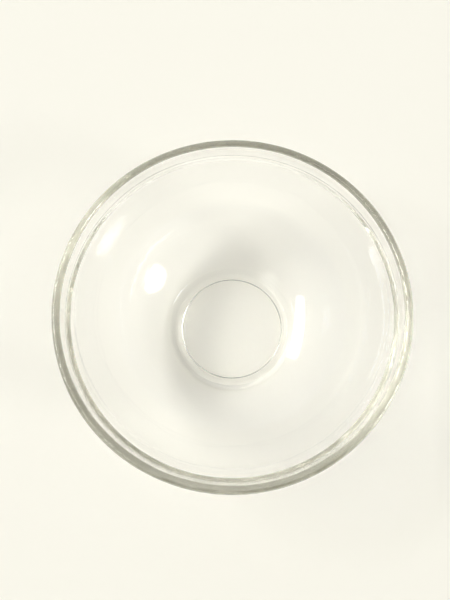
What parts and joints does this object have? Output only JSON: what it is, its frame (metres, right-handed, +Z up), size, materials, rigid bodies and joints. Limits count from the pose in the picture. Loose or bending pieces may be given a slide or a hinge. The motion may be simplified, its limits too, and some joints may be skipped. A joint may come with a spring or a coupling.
{
  "type": "glass dish",
  "caption": "Round bowl-shaped dish of clear pressed glass, with a rounded lip, an upright rim band and a small thick foot, for holding liquid or a sample.",
  "frame": {"origin": "middle of the foot, on the plane that the dish rests on", "axes": "+Z up along the dish's axis, out of its mouth; the dish is round, so +X and +Y are free"},
  "size_m": [0.12, 0.12, 0.055],
  "materials": {
    "clear_glass": "clear pressed soda-lime glass, fire-polished smooth, olive-grey where it is seen through its thickness"
  },
  "bodies": {
    "root": {"glass_dish": "clear_glass"}
  },
  "joints": []
}
